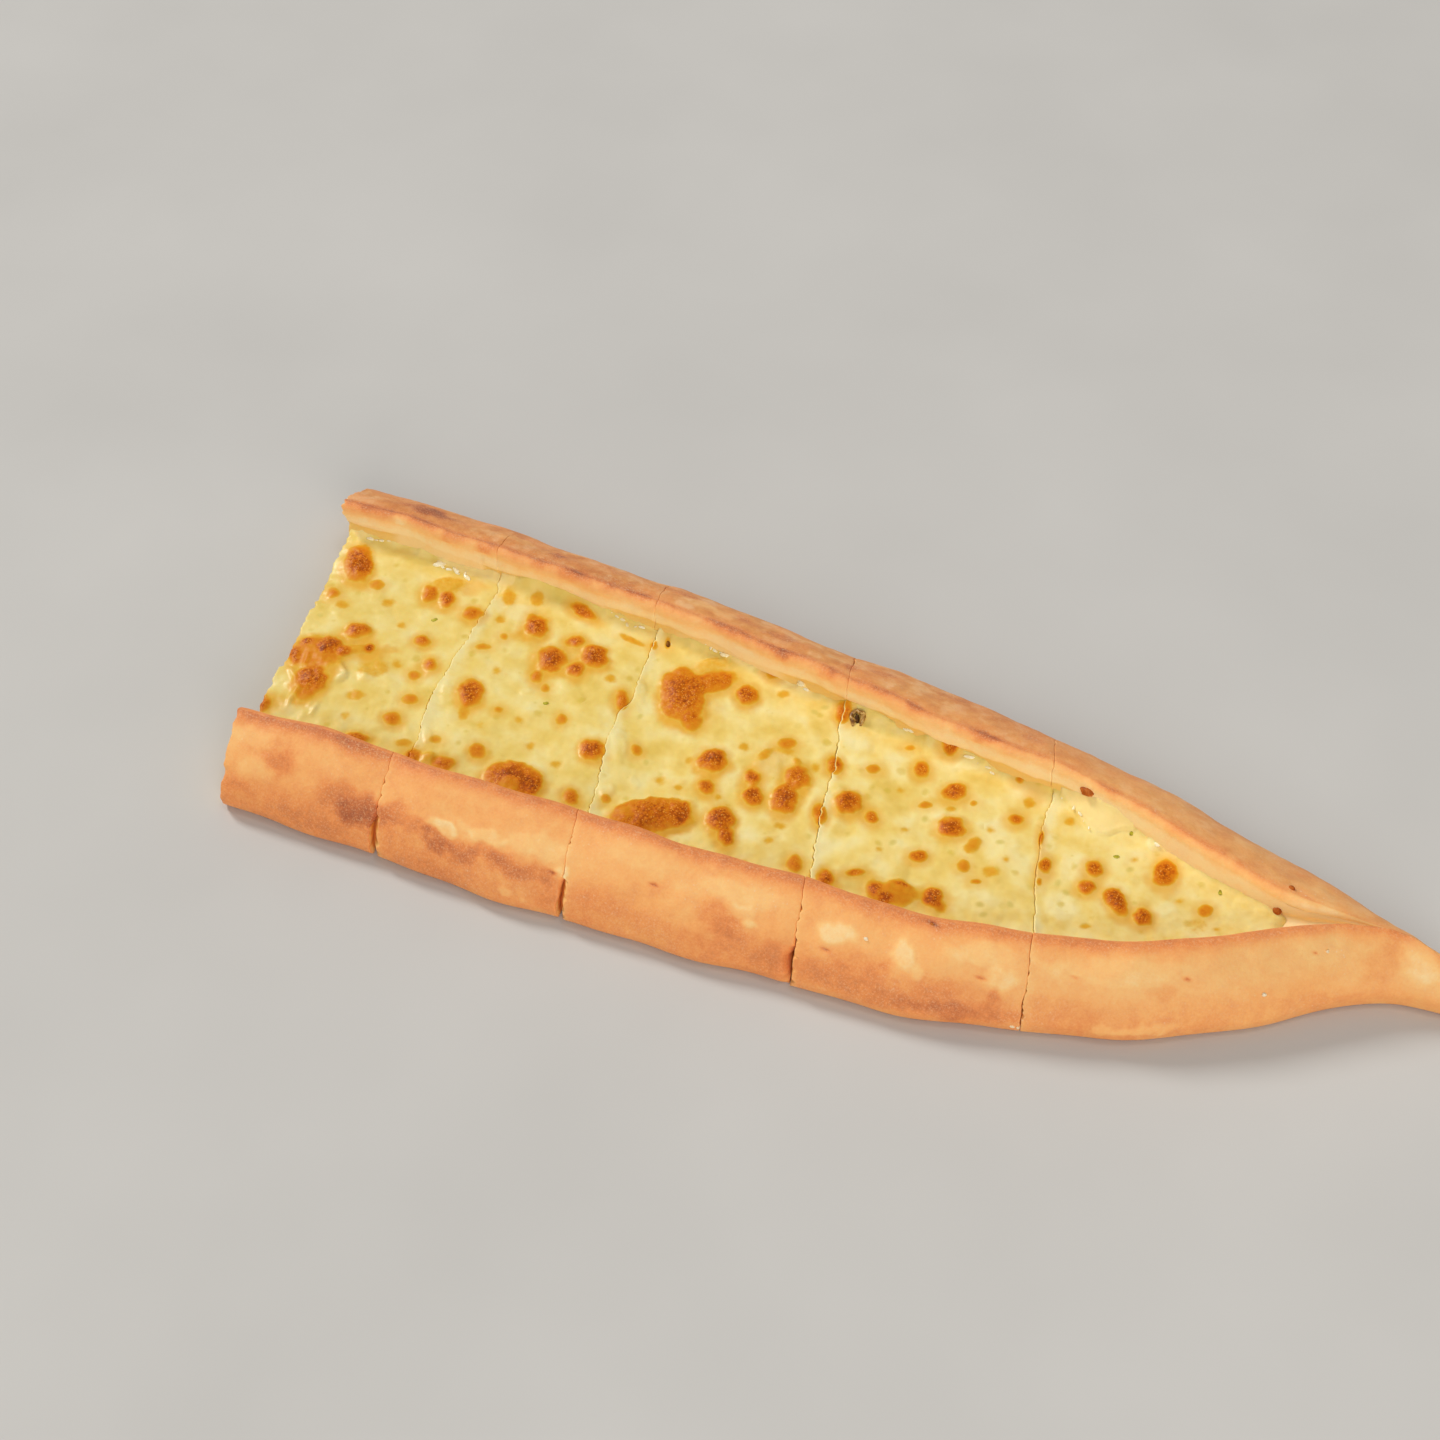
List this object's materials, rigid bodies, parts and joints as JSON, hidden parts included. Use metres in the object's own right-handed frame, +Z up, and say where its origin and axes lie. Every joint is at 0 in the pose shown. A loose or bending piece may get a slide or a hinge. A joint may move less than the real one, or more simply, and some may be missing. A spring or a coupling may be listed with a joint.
{
  "type": "boat-shaped cheese pie",
  "caption": "Half of a boat-shaped flatbread pie with rolled crust rims and a browned melted cheese filling, cut crosswise into slices that still lie together.",
  "frame": {"origin": "under the middle of the half's box, on the surface it rests on", "axes": "+X along the half from the cut end to the tip, +Y towards the back rim, +Z up"},
  "size_m": [0.2844, 0.102, 0.0172],
  "materials": {
    "crust": "baked dough, dry and slightly floury, golden with browned patches",
    "cheese": "melted cheese, softly glossy, pale yellow with browned blisters"
  },
  "bodies": {
    "root": {"dough_slice_1": "crust", "dough_slice_2": "crust", "dough_slice_3": "crust", "dough_slice_4": "crust", "dough_slice_5": "crust", "cheese_slice_1": "cheese", "cheese_slice_2": "cheese", "cheese_slice_3": "cheese", "cheese_slice_4": "cheese", "cheese_slice_5": "cheese"}
  },
  "joints": []
}
